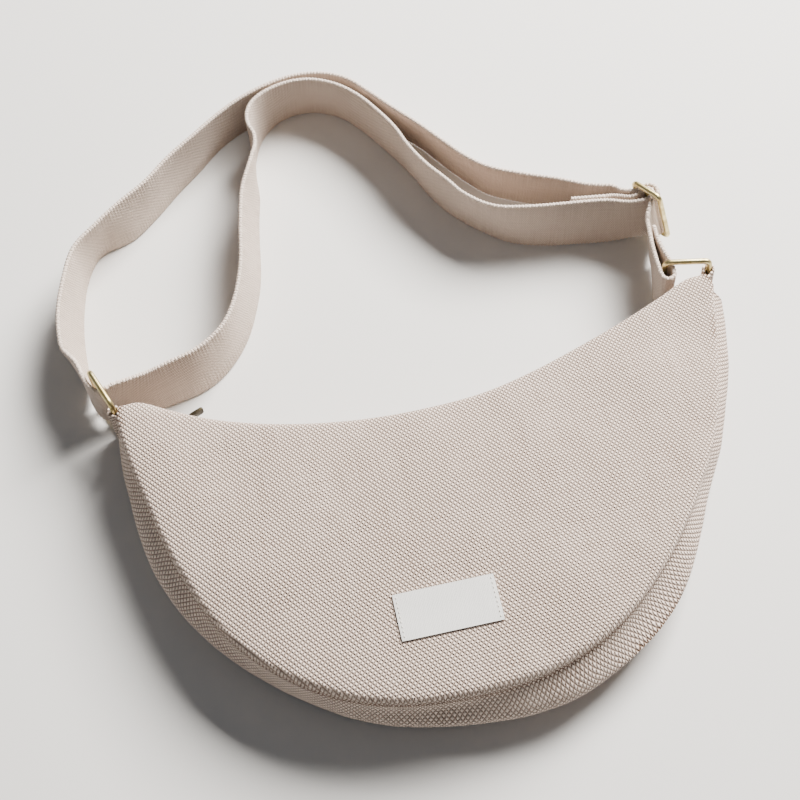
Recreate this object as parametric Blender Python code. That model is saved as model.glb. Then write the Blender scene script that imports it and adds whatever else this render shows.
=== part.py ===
"""A half-moon belt bag of natural canvas, lying on its back.

The bag is a hollow shell of sewn canvas panels: a front and a back panel, a gusset round the
curved edge, and a zip between two bands along the hollow edge. A woven strap runs from one horn
to the other through two wire rings and a three-bar slider, and stands on its edge as it lies.
Lengths are in metres. X runs from horn to horn, the curved edge lies towards -Y, and +Z is up.
"""
from collections import namedtuple
from math import cos, pi, radians, sin

import bmesh
import bpy
from mathutils import Matrix, Vector

# Driving sizes of the bag
BAG_LENGTH = 0.292
BAG_DROP = 0.1715
BAG_THICKNESS = 0.0385
CANVAS = 0.0016
EDGE_ROLL = 0.0036
PANEL_LIP = 0.0008
GUSSET_BULGE = 0.0145
SEAM_LIP = 0.0015
ZIP_MOUTH = 0.0062
LABEL_WIDTH = 0.044
LABEL_HEIGHT = 0.0205
LABEL_THICKNESS = 0.0005
BAND_TUCK = 0.0006

# Driving sizes of the zip
ZIP_TAPE_WIDTH = 0.0125
ZIP_TAPE_THICKNESS = 0.0007
ZIP_TEETH_WIDTH = 0.0045
ZIP_TEETH_PROUD = 0.0009
ZIP_SLIDER_LENGTH = 0.0085
ZIP_SLIDER_WIDTH = 0.0056
ZIP_SLIDER_PLATE = 0.0012
ZIP_BRIDGE_WIRE = 0.0010
ZIP_BRIDGE_WIDTH = 0.0016
ZIP_PULL_LENGTH = 0.0135
ZIP_PULL_WIDTH = 0.0050
ZIP_PULL_THICKNESS = 0.0012
ZIP_PULL_EYE = 0.0044
ZIP_PULL_SWING = 50.0

# Driving sizes of the strap and its metal pieces
STRAP_WIDTH = 0.030
STRAP_THICKNESS = 0.0018
STRAP_REACH = 0.172
STRAP_FLAP = 0.036
END_LOOP_LENGTH = 0.025
END_LOOP_WIDTH = 0.0064
RING_WIRE = 0.0030
RING_INSIDE_LENGTH = 0.018
SLIDER_SLOT = 0.0054
TAB_WIDTH = 0.0255
TAB_THICKNESS = 0.0012
TAB_INSIDE = 0.005
TAB_REACH_LEFT = 0.0047
TAB_REACH_RIGHT = 0.0083

# Clearances between neighbouring pieces
SEAM_GAP = 0.0003
SEAT_GAP = 0.0004
SLIDE_GAP = 0.0005
FLOOR_GAP = 0.0002

# Fineness of the meshes
BAG_SEGMENTS = 46
PANEL_ROWS = 8
ROLL_STEPS = 3
GUSSET_ROWS = 7
WIRE_SIDES = 8
STRAP_STEP = 0.0065
BEND_STEP = radians(16.0)

HALF_LENGTH = BAG_LENGTH / 2.0
UP = Vector((0.0, 0.0, 1.0))

# Outline of the lying bag. Station -1 is the left horn and 1 the right horn. The seam columns
# follow the curved edge, the edge columns the hollow edge. X is a share of HALF_LENGTH, Y of
# BAG_DROP.
Outline = namedtuple("Outline", "station seam_x seam_y edge_x edge_y")
OUTLINE = (
    Outline(-1.00, -0.999, -0.090, -0.975, -0.050),
    Outline(-0.90, -0.987, -0.185, -0.918, -0.046),
    Outline(-0.80, -0.949, -0.330, -0.842, -0.080),
    Outline(-0.65, -0.887, -0.530, -0.712, -0.134),
    Outline(-0.50, -0.776, -0.738, -0.553, -0.178),
    Outline(-0.35, -0.597, -0.894, -0.380, -0.208),
    Outline(-0.18, -0.376, -0.985, -0.205, -0.224),
    Outline(0.00, -0.127, -1.013, -0.027, -0.225),
    Outline(0.18, 0.117, -0.996, 0.151, -0.213),
    Outline(0.35, 0.342, -0.920, 0.330, -0.176),
    Outline(0.50, 0.535, -0.788, 0.500, -0.128),
    Outline(0.65, 0.701, -0.620, 0.665, -0.076),
    Outline(0.80, 0.838, -0.427, 0.815, -0.022),
    Outline(0.90, 0.919, -0.225, 0.902, 0.012),
    Outline(1.00, 0.984, -0.032, 0.962, 0.014),
)

# Heights over the table, as shares of BAG_THICKNESS, and how far the gusset stands out of its
# seam where it is fullest and at its foot, as shares of GUSSET_BULGE.
Heights = namedtuple("Heights", "station seam crown edge bulge foot")
HEIGHTS = (
    Heights(-1.00, 0.900, 0.930, 0.900, 0.12, 0.04),
    Heights(-0.90, 0.905, 0.940, 0.890, 0.28, 0.10),
    Heights(-0.80, 0.910, 0.950, 0.880, 0.50, 0.18),
    Heights(-0.65, 0.915, 0.965, 0.870, 0.62, 0.20),
    Heights(-0.50, 0.915, 0.980, 0.865, 0.25, 0.00),
    Heights(-0.35, 0.915, 0.990, 0.860, 0.08, -0.12),
    Heights(-0.18, 0.910, 0.998, 0.860, 0.28, 0.00),
    Heights(0.00, 0.905, 1.000, 0.860, 0.50, 0.15),
    Heights(0.18, 0.905, 1.000, 0.865, 0.76, 0.26),
    Heights(0.35, 0.905, 0.998, 0.870, 0.83, 0.28),
    Heights(0.50, 0.905, 0.990, 0.875, 0.86, 0.27),
    Heights(0.65, 0.905, 0.975, 0.880, 0.44, 0.12),
    Heights(0.80, 0.905, 0.955, 0.890, 0.40, 0.14),
    Heights(0.90, 0.900, 0.940, 0.895, 0.62, 0.22),
    Heights(1.00, 0.900, 0.930, 0.900, 0.52, 0.18),
)

# How much the stations of the bag crowd towards its horns: 0 is even.
HORN_CROWDING = 0.35

# How far down its height the gusset is fullest.
BULGE_WAIST = 0.45

# How soon the front panel rises from its borders to its crown: less is sooner.
CROWN_FULLNESS = 0.55

# Soft hollows and swells of the front panel: centre as shares of HALF_LENGTH and BAG_DROP,
# radius as a share of HALF_LENGTH, depth as a share of BAG_THICKNESS.
Dent = namedtuple("Dent", "x y radius depth")
DENTS = (
    Dent(-0.66, -0.28, 0.20, 0.055),
    Dent(-0.30, -0.33, 0.30, 0.040),
    Dent(0.80, -0.16, 0.17, 0.045),
    Dent(0.42, -0.30, 0.24, 0.035),
    Dent(0.10, -0.70, 0.40, -0.020),
)

# Creases of the gusset just under the front seam: station, half width in stations, and depth
# as a share of GUSSET_BULGE. They fill the upper part of the gusset, CREASE_SPAN of its height.
Crease = namedtuple("Crease", "station half_width depth")
CREASES = (
    Crease(-0.50, 0.20, 0.10),
    Crease(-0.05, 0.28, 0.25),
    Crease(0.42, 0.20, 0.35),
    Crease(0.66, 0.14, 0.18),
)
CREASE_SPAN = 0.42

# Middle of the label, as shares of HALF_LENGTH and BAG_DROP.
LABEL_X = -0.134
LABEL_Y = -0.795

# Stations where the zip's slider is and where its chain ends, at either horn.
ZIP_SLIDER_STATION = -0.775
ZIP_END_STATION = 0.94

# The strap's inner run, from the slider over the far bend to the left ring, and its outer run
# back to the slider. X is a share of HALF_LENGTH, Y of STRAP_REACH, and lean is how far the
# top edge tips to the right of the way, in degrees.
Run = namedtuple("Run", "x y lean")
INNER_RUN = (
    Run(0.751, 0.320, 9.0),
    Run(0.667, 0.330, 9.0),
    Run(0.584, 0.338, 8.0),
    Run(0.503, 0.350, 5.0),
    Run(0.425, 0.369, 0.0),
    Run(0.360, 0.398, -7.0),
    Run(0.285, 0.457, -8.0),
    Run(0.234, 0.518, -5.0),
    Run(0.186, 0.586, -7.0),
    Run(0.147, 0.664, -9.0),
    Run(0.111, 0.738, -5.0),
    Run(0.066, 0.811, -4.0),
    Run(0.015, 0.880, -4.0),
    Run(-0.046, 0.939, -6.0),
    Run(-0.123, 0.977, -6.0),
    Run(-0.203, 0.988, -5.0),
    Run(-0.288, 0.971, -1.0),
    Run(-0.364, 0.924, 6.0),
    Run(-0.398, 0.864, 5.0),
    Run(-0.403, 0.785, -7.0),
    Run(-0.424, 0.692, 4.0),
    Run(-0.453, 0.610, 10.0),
    Run(-0.472, 0.523, 12.0),
    Run(-0.486, 0.440, 13.0),
    Run(-0.502, 0.361, 12.0),
    Run(-0.528, 0.285, 10.0),
    Run(-0.562, 0.213, 9.0),
    Run(-0.608, 0.151, 8.0),
    Run(-0.664, 0.106, 10.0),
    Run(-0.728, 0.074, 11.0),
    Run(-0.802, 0.056, 11.0),
    Run(-0.878, 0.040, 8.0),
)
OUTER_RUN = (
    Run(-1.121, 0.170, -12.0),
    Run(-1.124, 0.284, -12.0),
    Run(-1.103, 0.396, -7.0),
    Run(-1.064, 0.502, -2.0),
    Run(-0.995, 0.575, 6.0),
    Run(-0.892, 0.626, -6.0),
    Run(-0.794, 0.690, -3.0),
    Run(-0.702, 0.767, -2.0),
    Run(-0.603, 0.838, 1.0),
    Run(-0.507, 0.908, 5.0),
    Run(-0.411, 0.958, 5.0),
    Run(-0.301, 0.993, 4.0),
    Run(-0.202, 1.008, 4.0),
    Run(-0.103, 1.000, 5.0),
    Run(-0.014, 0.963, 6.0),
    Run(0.062, 0.895, 9.0),
    Run(0.127, 0.830, 12.0),
    Run(0.192, 0.767, 14.0),
    Run(0.240, 0.709, 13.0),
    Run(0.288, 0.648, 12.0),
    Run(0.340, 0.590, 12.0),
    Run(0.402, 0.538, 10.0),
    Run(0.517, 0.488, 9.0),
    Run(0.616, 0.451, 8.0),
    Run(0.709, 0.412, 8.0),
    Run(0.788, 0.389, 6.0),
)

# The strap beside the slider's middle bar, in the slider's own frame, as shares of the step
# from one of its bars to the next: the sewn end going in and out, then the outer run.
Pass = namedtuple("Pass", "across through")
SEWN_END_IN = (Pass(-0.79, -0.90), Pass(-0.46, -0.48))
SEWN_END_OUT = (Pass(0.23, -0.38), Pass(-0.14, -0.79), Pass(-0.58, -1.24))
OUTER_RUN_IN = (Pass(-1.79, -0.81), Pass(-1.10, -0.52), Pass(-0.73, -0.24))
OUTER_RUN_OUT = (Pass(0.60, -0.24),)

# The strap's end loop round the far bar of the right ring, down its left side and up again:
# shares of END_LOOP_WIDTH and END_LOOP_LENGTH from the bar, and lean to the left in degrees.
Loop = namedtuple("Loop", "across along lean")
END_LOOP = (
    Loop(0.40, 1.20, 14.0),
    Loop(0.13, 0.88, 13.0),
    Loop(-0.08, 0.60, 12.0),
    Loop(-0.27, 0.32, 10.0),
    Loop(-0.47, 0.06, 6.0),
    Loop(-0.48, -0.17, 6.0),
    Loop(-0.34, -0.26, 6.0),
    Loop(0.00, -0.30, 6.0),
    Loop(0.34, -0.26, 6.0),
    Loop(0.48, -0.17, 6.0),
    Loop(0.50, 0.04, 6.0),
    Loop(0.46, 0.25, 8.0),
    Loop(0.42, 0.49, 10.0),
    Loop(0.47, 0.70, 12.0),
    Loop(0.58, 0.96, 13.0),
)

# The strap through the left ring and round its far bar: along the ring from that bar, as a
# share of the ring's length, and out of the ring, as a share of the tightest bend.
Bend = namedtuple("Bend", "along out")
LEFT_BEND = (
    Bend(-0.50, -1.50),
    Bend(-0.49, 0.00),
    Bend(-0.41, 0.80),
    Bend(-0.26, 1.22),
    Bend(-0.10, 1.28),
    Bend(0.10, 1.24),
    Bend(0.29, 1.00),
)

# Where the sewn end lies beside the inner run, as shares of STRAP_FLAP from the run's start.
FLAP_SHARES = (0.50, 0.15, -0.18)

# A point of a band's way: length walked to it, place, and the band's own up.
WayPoint = namedtuple("WayPoint", "station x y z up_x up_y up_z")

# Where the slider stands, as shares of HALF_LENGTH and STRAP_REACH, and how it is turned.
SLIDER_X = 0.913
SLIDER_Y = 0.310
SLIDER_UP = Vector((-0.295, 0.075, 0.954)).normalized()
SLIDER_ACROSS = Vector((0.526, -0.850, 0.0))

# Which way the tabs leave the horns, and how the rings are turned about the upright bar that
# their tab holds, all from +X, in degrees. A ring's lean tips its top away from the tab.
TAB_LEFT_TURN = 127.0
TAB_RIGHT_TURN = 60.0
RING_LEFT_TURN = 112.0
RING_RIGHT_TURN = 166.0
RING_LEFT_LEAN = 0.0
RING_RIGHT_LEAN = 6.0

# Colours and finishes: base colour, roughness, metallic
FINISHES = {
    "canvas": ((0.70, 0.62, 0.54), 0.92, 0.0),
    "webbing": ((0.66, 0.58, 0.51), 0.90, 0.0),
    "zip_tape": ((0.30, 0.27, 0.20), 0.80, 0.0),
    "antique_brass": ((0.52, 0.42, 0.20), 0.34, 1.0),
    "dark_brass": ((0.10, 0.09, 0.06), 0.45, 1.0),
    "label_cloth": ((0.78, 0.76, 0.71), 0.75, 0.0),
}


def clear_scene():
    """Remove every object that the file opened with."""
    for item in list(bpy.data.objects):
        bpy.data.objects.remove(item, do_unlink=True)


def make_finish(name):
    """Make one plain material from the table of finishes."""
    colour, roughness, metallic = FINISHES[name]
    finish = bpy.data.materials.new(name)
    finish.use_nodes = True
    shader = finish.node_tree.nodes["Principled BSDF"]
    shader.inputs["Base Color"].default_value = (*colour, 1.0)
    shader.inputs["Roughness"].default_value = roughness
    shader.inputs["Metallic"].default_value = metallic
    return finish


def row_at(table, station):
    """Read all columns of a table at a station, along a smooth curve through its rows."""
    last = len(table) - 2
    index = 0
    while index < last and station > table[index + 1][0]:
        index += 1
    low, high = table[index], table[index + 1]
    before = table[max(index - 1, 0)]
    after = table[min(index + 2, len(table) - 1)]
    span = high[0] - low[0]
    share = min(max((station - low[0]) / span, 0.0), 1.0)
    values = [station]
    for column in range(1, len(low)):
        slope_low = (high[column] - before[column]) / (high[0] - before[0]) * span
        slope_high = (after[column] - low[column]) / (after[0] - low[0]) * span
        square, cube = share * share, share * share * share
        values.append(
            (2 * cube - 3 * square + 1) * low[column]
            + (cube - 2 * square + share) * slope_low
            + (3 * square - 2 * cube) * high[column]
            + (cube - square) * slope_high
        )
    return type(low)(*values)


def seam_point(station):
    """Plan point of the seam along the curved edge."""
    row = row_at(OUTLINE, station)
    return Vector((row.seam_x * HALF_LENGTH, row.seam_y * BAG_DROP, 0.0))


def edge_point(station):
    """Plan point of the hollow edge, where the zip is."""
    row = row_at(OUTLINE, station)
    return Vector((row.edge_x * HALF_LENGTH, row.edge_y * BAG_DROP, 0.0))


def outward(curve, station, side):
    """Plan direction out of the bag, across an outline curve."""
    step = 0.01
    ahead = curve(min(station + step, 1.0))
    behind = curve(max(station - step, -1.0))
    along = (ahead - behind).normalized()
    return Vector((along.y * side, -along.x * side, 0.0))


def bag_stations(count):
    """Stations from horn to horn, closer together towards the horns."""
    stations = []
    for index in range(count + 1):
        even = 2.0 * index / count - 1.0
        stations.append((1.0 - HORN_CROWDING) * even + HORN_CROWDING * sin(even * pi / 2.0))
    return stations


def dent_depth(point):
    """How far the front panel sinks at a plan point."""
    depth = 0.0
    for dent in DENTS:
        away = Vector((point.x - dent.x * HALF_LENGTH, point.y - dent.y * BAG_DROP, 0.0)).length
        reach = away / (dent.radius * HALF_LENGTH)
        if reach < 1.0:
            depth += dent.depth * BAG_THICKNESS * (0.5 + 0.5 * cos(pi * reach))
    return depth


def front_height(station, share, point):
    """Height of the front panel before its borders roll down. Share runs from zip to seam."""
    row = row_at(HEIGHTS, station)
    border = (1.0 - share) * row.edge + share * row.seam
    taper = sin(pi * min(max(share, 0.0), 1.0))
    lift = (row.crown - border) * taper ** CROWN_FULLNESS
    return (border + lift) * BAG_THICKNESS - dent_depth(point) * taper


def front_section(station):
    """Points of the front panel across one station, from the zip border to the seam."""
    seam = seam_point(station)
    edge = edge_point(station)
    across = seam - edge
    width = across.length
    roll = min(EDGE_ROLL, 0.30 * width)
    border = [(0.0, roll + PANEL_LIP)]
    for step in range(ROLL_STEPS):
        angle = pi / 2.0 * step / ROLL_STEPS
        border.append((roll * (1.0 - cos(angle)), roll * (1.0 - sin(angle))))
    rows = list(border)
    for step in range(PANEL_ROWS + 1):
        rows.append((roll + (width - 2.0 * roll) * step / PANEL_ROWS, 0.0))
    rows += [(width - distance, drop) for distance, drop in reversed(border)]
    points = []
    for distance, drop in rows:
        share = distance / width
        point = edge + across * share
        point.z = front_height(station, share, point) - drop
        points.append(point)
    return points


def border_height(station, border):
    """Height of the front panel's rim on the zip side (0) or the seam side (1)."""
    section = front_section(station)
    return section[-1].z if border else section[0].z


def crease_depth(station):
    """How far the gusset sinks under the front seam."""
    depth = 0.0
    for crease in CREASES:
        reach = abs(station - crease.station) / crease.half_width
        if reach < 1.0:
            depth += crease.depth * (0.5 + 0.5 * cos(pi * reach))
    return depth * GUSSET_BULGE


def gusset_reach(station, share):
    """How far the gusset stands out of its seam, a share of the way down to its foot."""
    row = row_at(HEIGHTS, station)
    if share < BULGE_WAIST:
        return GUSSET_BULGE * row.bulge * sin(pi / 2.0 * share / BULGE_WAIST)
    fall = cos(pi / 2.0 * (share - BULGE_WAIST) / (1.0 - BULGE_WAIST))
    return GUSSET_BULGE * (row.foot + (row.bulge - row.foot) * fall)


def foot_point(station):
    """Plan point of the gusset's foot, where the back panel is sewn on."""
    out = outward(seam_point, station, 1.0)
    return seam_point(station) + out * gusset_reach(station, 1.0)


def gusset_section(station):
    """Points of the gusset from the front seam down to the back panel."""
    out = outward(seam_point, station, 1.0)
    base = seam_point(station)
    top = border_height(station, 1) - SEAM_GAP
    foot = CANVAS + SEAM_GAP
    fall = top - foot - 2.0 * SEAM_LIP
    crease = crease_depth(station)
    profile = [(0.0, top)]
    for step in range(GUSSET_ROWS + 1):
        share = step / GUSSET_ROWS
        fold = crease * sin(pi * min(share / CREASE_SPAN, 1.0)) ** 2
        profile.append((gusset_reach(station, share) - fold, top - SEAM_LIP - fall * share))
    profile.append((gusset_reach(station, 1.0), foot))
    return [base + out * reach + UP * height for reach, height in profile]


def band_section(station, front):
    """Points of one canvas band of the zip side, from its seam to its free edge."""
    out = outward(edge_point, station, -1.0)
    base = edge_point(station)
    top = border_height(station, 0) - SEAM_GAP
    foot = CANVAS + SEAM_GAP
    middle = (top + foot) / 2.0
    if front:
        heights = (top, (top + middle) / 2.0 + ZIP_MOUTH / 4.0, middle + ZIP_MOUTH / 2.0)
    else:
        heights = (middle - ZIP_MOUTH / 2.0, (foot + middle) / 2.0 - ZIP_MOUTH / 4.0, foot)
    reaches = (0.0, BAND_TUCK, 0.0)
    return [base + out * reach + UP * height for reach, height in zip(reaches, heights)]


def finish_object(name, mesh_maker, finish, smooth_angle=40.0):
    """Turn a bmesh into a named object with its finish and smooth round faces."""
    mesh = bpy.data.meshes.new(name)
    bmesh.ops.recalc_face_normals(mesh_maker, faces=mesh_maker.faces)
    mesh_maker.to_mesh(mesh)
    mesh_maker.free()
    mesh.materials.append(finish)
    mesh.shade_smooth()
    mesh.set_sharp_from_angle(angle=radians(smooth_angle))
    item = bpy.data.objects.new(name, mesh)
    bpy.context.scene.collection.objects.link(item)
    return item


def skin(sections):
    """Join rows of points into one open sheet of quads."""
    maker = bmesh.new()
    grid = [[maker.verts.new(point) for point in section] for section in sections]
    for left, right in zip(grid, grid[1:]):
        for row in range(len(left) - 1):
            maker.faces.new((left[row], left[row + 1], right[row + 1], right[row]))
    return maker


def cloth_sheet(name, sections, finish, thickness, towards):
    """Make a wall of even thickness from a sheet whose outer side faces a direction."""
    maker = skin(sections)
    item = finish_object(name, maker, finish)
    centre_face = item.data.polygons[len(item.data.polygons) // 2]
    if centre_face.normal.dot(towards) < 0.0:
        item.data.flip_normals()
    wall = item.modifiers.new("wall", "SOLIDIFY")
    wall.thickness = thickness
    wall.offset = -1.0
    wall.use_even_offset = True
    wall.use_quality_normals = False
    return item


def tube(maker, centres, tangents, normals, outline, closed):
    """Sweep a flat outline of (side, normal) pairs along a way, with ends closed if open."""
    rings = []
    for centre, tangent, normal in zip(centres, tangents, normals):
        side = tangent.cross(normal).normalized()
        rings.append([maker.verts.new(centre + side * s + normal * n) for s, n in outline])
    count = len(rings)
    pairs = range(count if closed else count - 1)
    for index in pairs:
        near, far = rings[index], rings[(index + 1) % count]
        for corner in range(len(outline)):
            after = (corner + 1) % len(outline)
            maker.faces.new((near[corner], near[after], far[after], far[corner]))
    if not closed:
        maker.faces.new(rings[0])
        maker.faces.new(list(reversed(rings[-1])))
    return rings


def round_outline(radius, sides):
    """Corners of a round wire's section."""
    angles = [2.0 * pi * (corner + 0.5) / sides for corner in range(sides)]
    return [(radius * cos(angle), radius * sin(angle)) for angle in angles]


def frame_matrix(origin, x_axis, z_axis):
    """Place a flat frame: its long way stands along z_axis, its short way along x_axis."""
    z_axis = z_axis.normalized()
    x_axis = (x_axis - z_axis * x_axis.dot(z_axis)).normalized()
    y_axis = z_axis.cross(x_axis)
    columns = (x_axis, y_axis, z_axis)
    matrix = Matrix.Identity(4)
    for row in range(3):
        for column in range(3):
            matrix[row][column] = columns[column][row]
        matrix[row][3] = origin[row]
    return matrix


def wire_loop(width, height, corner, steps):
    """Centre line of a rounded rectangle in the XZ plane, round its own middle."""
    points = []
    turns = ((1, 1, 0.0), (-1, 1, 90.0), (-1, -1, 180.0), (1, -1, 270.0))
    for side_x, side_z, start in turns:
        for step in range(steps + 1):
            angle = radians(start + 90.0 * step / steps)
            x = side_x * (width / 2.0 - corner) + corner * cos(angle)
            z = side_z * (height / 2.0 - corner) + corner * sin(angle)
            points.append(Vector((x, 0.0, z)))
    return points


def wire_frame(name, width, height, bars, finish):
    """Round-wire rectangle, with its middle at the origin and extra upright bars."""
    maker = bmesh.new()
    corner = RING_WIRE * 0.9
    centres = wire_loop(width, height, corner, 3)
    count = len(centres)
    tangents = [(centres[(i + 1) % count] - centres[i - 1]).normalized() for i in range(count)]
    normals = [Vector((0.0, 1.0, 0.0))] * count
    tube(maker, centres, tangents, normals, round_outline(RING_WIRE / 2.0, WIRE_SIDES), True)
    frame = finish_object(name, maker, finish)
    for index, bar_x in enumerate(bars):
        bar_maker = bmesh.new()
        ends = [Vector((bar_x, 0.0, -height / 2.0)), Vector((bar_x, 0.0, height / 2.0))]
        outline = round_outline(RING_WIRE * 0.44, WIRE_SIDES)
        tube(bar_maker, ends, [UP, UP], [Vector((0.0, 1.0, 0.0))] * 2, outline, False)
        bar = finish_object(f"{name}_bar_guide_{index}", bar_maker, finish)
        bar.hide_render = True
        bar.display_type = "WIRE"
        join = frame.modifiers.new("bar", "BOOLEAN")
        join.operation = "UNION"
        join.solver = "EXACT"
        join.object = bar
        bar.parent = frame
    return frame


def smooth_way(points, step):
    """Even stations along a smooth curve through way points, closer together in tight bends."""
    table = [WayPoint(0.0, *points[0])]
    for before, point in zip(points, points[1:]):
        length = (Vector(point[:3]) - Vector(before[:3])).length
        table.append(WayPoint(table[-1].station + length, *point))
    pieces = 12
    dense = []
    for low, high in zip(table, table[1:]):
        for part in range(pieces):
            share = part / pieces
            dense.append(row_at(table, low.station * (1.0 - share) + high.station * share)[1:])
    dense.append(table[-1][1:])
    kept = [dense[0]]
    walked = 0.0
    turned = 0.0
    for index in range(1, len(dense) - 1):
        last, here, ahead = (Vector(dense[index + shift][:3]) for shift in (-1, 0, 1))
        walked += (here - last).length
        turned += (here - last).angle(ahead - here, 0.0)
        if walked >= step or turned > BEND_STEP:
            kept.append(dense[index])
            walked = 0.0
            turned = 0.0
    if walked < step / 4.0:
        kept.pop()
    return kept + [dense[-1]]


def ribbon(name, way, width, thickness, finish, step):
    """Sweep a flat band along a way; each point of the way carries the band's own up."""
    stations = smooth_way(way, step)
    centres = [Vector(row[:3]) for row in stations]
    ups = [Vector(row[3:]).normalized() for row in stations]
    maker = bmesh.new()
    tangents = []
    for index in range(len(centres)):
        ahead = centres[min(index + 1, len(centres) - 1)]
        behind = centres[max(index - 1, 0)]
        tangents.append((ahead - behind).normalized())
    flat_ups = []
    for up, tangent in zip(ups, tangents):
        flat_ups.append((up - tangent * up.dot(tangent)).normalized())
    half_thick, half_wide = thickness / 2.0, width / 2.0
    outline = [
        (-half_thick, -half_wide), (half_thick, -half_wide),
        (half_thick, half_wide), (-half_thick, half_wide),
    ]
    tube(maker, centres, tangents, flat_ups, outline, False)
    return finish_object(name, maker, finish, 50.0)


def horn(side):
    """Middle of a horn's open end in plan, and the direction of the tab that leaves it."""
    turn = TAB_LEFT_TURN if side < 0 else TAB_RIGHT_TURN
    out = Vector((cos(radians(turn)), sin(radians(turn)), 0.0))
    return (seam_point(side) + edge_point(side)) / 2.0, out


def ring_height():
    """Centre-line height of a ring: the strap, its play and the wire."""
    return STRAP_WIDTH + 2.0 * SLIDE_GAP + RING_WIRE


def ring_length():
    """Centre-line length of a ring, from the bar in the tab to the bar in the strap."""
    return RING_INSIDE_LENGTH + RING_WIRE


def ring_frame(side):
    """Frame of one ring: X from its bar in the tab to its far bar, Z up along the bars."""
    middle, out = horn(side)
    reach = TAB_REACH_LEFT if side < 0 else TAB_REACH_RIGHT
    turn = radians(RING_LEFT_TURN if side < 0 else RING_RIGHT_TURN)
    lean = radians(RING_LEFT_LEAN if side < 0 else RING_RIGHT_LEAN)
    level = Vector((cos(turn), sin(turn), 0.0))
    across = level * cos(lean) - UP * sin(lean)
    up = UP * cos(lean) + level * sin(lean)
    half_height = (ring_height() + RING_WIRE) / 2.0
    half_length = (ring_length() + RING_WIRE) / 2.0
    height = half_height * cos(lean) + half_length * sin(lean) + FLOOR_GAP
    plan = middle + out * reach + level * (ring_length() / 2.0 * cos(lean))
    return frame_matrix(plan + UP * height, across, up)


def ring_bar(side, end):
    """Middle of a ring's upright bar: end -1 is in the tab, 1 is in the strap."""
    return ring_frame(side) @ Vector((end * ring_length() / 2.0, 0.0, 0.0))


def band_row(point, up):
    """A way point of a band: where its middle is, and which way its own up points."""
    return (point.x, point.y, point.z, up.x, up.y, up.z)


def build_tab(side, name, finish):
    """Folded canvas tab that comes out of a horn and holds the ring's upright bar."""
    middle, out = horn(side)
    up = ring_frame(side).col[2].xyz
    bar = ring_bar(side, -1)
    play = (STRAP_WIDTH - TAB_WIDTH) / 2.0
    height = max((border_height(side, 1) + CANVAS) / 2.0, bar.z - play)
    bar += up * ((height - bar.z) / up.z)
    half = (TAB_THICKNESS + SEAM_GAP) / 2.0
    radius = RING_WIRE / 2.0 + SEAT_GAP + TAB_THICKNESS / 2.0
    normal = Vector((-out.y, out.x, 0.0))
    reach = (bar - middle - UP * height).dot(out)
    neck = bar - out * min(radius * 1.9, reach)
    inner = bar - out * (reach + TAB_INSIDE)
    way = [inner + normal * half, neck + normal * half]
    steps, wrap = 8, 130.0
    for step in range(steps + 1):
        angle = radians(wrap * (1.0 - 2.0 * step / steps))
        way.append(bar + out * (radius * cos(angle)) + normal * (radius * sin(angle)))
    way += [neck - normal * half, inner - normal * half]
    rows = [band_row(point, up) for point in way]
    return ribbon(name, rows, TAB_WIDTH, TAB_THICKNESS, finish, STRAP_STEP)


def slider_matrix():
    """Where the three-bar slider stands and how it is turned."""
    half_height = ring_height() / 2.0 + RING_WIRE / 2.0
    half_width = slider_width() / 2.0 + RING_WIRE / 2.0
    across = SLIDER_ACROSS - SLIDER_UP * SLIDER_ACROSS.dot(SLIDER_UP)
    across.normalize()
    height = half_height * SLIDER_UP.z + half_width * abs(across.z) + FLOOR_GAP
    origin = Vector((SLIDER_X * HALF_LENGTH, SLIDER_Y * STRAP_REACH, height))
    return frame_matrix(origin, SLIDER_ACROSS, SLIDER_UP)


def slot_pitch():
    """From one bar of the slider to the next, between centre lines."""
    return SLIDER_SLOT + RING_WIRE


def slider_width():
    """Centre-line width of the slider: two slots and its middle bar."""
    return 2.0 * slot_pitch()


def lean_row(point, lean, ahead):
    """A way point on the table whose top edge tips to the right of the way."""
    along = ahead.normalized()
    right = Vector((along.y, -along.x, 0.0))
    angle = radians(lean)
    up = UP * cos(angle) + right * sin(angle)
    height = FLOOR_GAP + (STRAP_WIDTH * cos(angle) + STRAP_THICKNESS * abs(sin(angle))) / 2.0
    return (point.x, point.y, height, up.x, up.y, up.z)


def run_point(row):
    """Plan point of one row of a run."""
    return Vector((row.x * HALF_LENGTH, row.y * STRAP_REACH, 0.0))


def run_rows(run):
    """Way points of a free stretch of the strap, from its table."""
    plan = [run_point(row) for row in run]
    rows = []
    for index, point in enumerate(plan):
        ahead = plan[min(index + 1, len(plan) - 1)] - plan[max(index - 1, 0)]
        rows.append(lean_row(point, run[index].lean, ahead))
    return rows


def slider_rows(pairs):
    """Way points given across the slider (a) and through it (b), in the slider's own frame."""
    matrix = slider_matrix()
    rows = []
    for across, through in pairs:
        rows.append(band_row(matrix @ Vector((across, through, 0.0)), SLIDER_UP))
    return rows


def pass_rows(passes):
    """Way points beside the slider's middle bar, from their table."""
    return slider_rows([(row.across * slot_pitch(), row.through * slot_pitch()) for row in passes])


def arc_pairs(radius, start, end, steps):
    """Points round the slider's middle bar, by angle from across to through, in degrees."""
    pairs = []
    for step in range(steps + 1):
        angle = radians(start + (end - start) * step / steps)
        pairs.append((radius * cos(angle), radius * sin(angle)))
    return pairs


def flap_rows():
    """Way points of the strap's sewn end, which lies flat beside the start of the inner run."""
    first = run_point(INNER_RUN[0])
    back = (run_point(INNER_RUN[2]) - first).normalized()
    beside = Vector((back.y, -back.x, 0.0)) * (STRAP_THICKNESS + SLIDE_GAP + SEAM_GAP)
    rows = []
    for share in FLAP_SHARES:
        rows.append(lean_row(first + back * (share * STRAP_FLAP) + beside, INNER_RUN[0].lean, back))
    return rows


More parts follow.
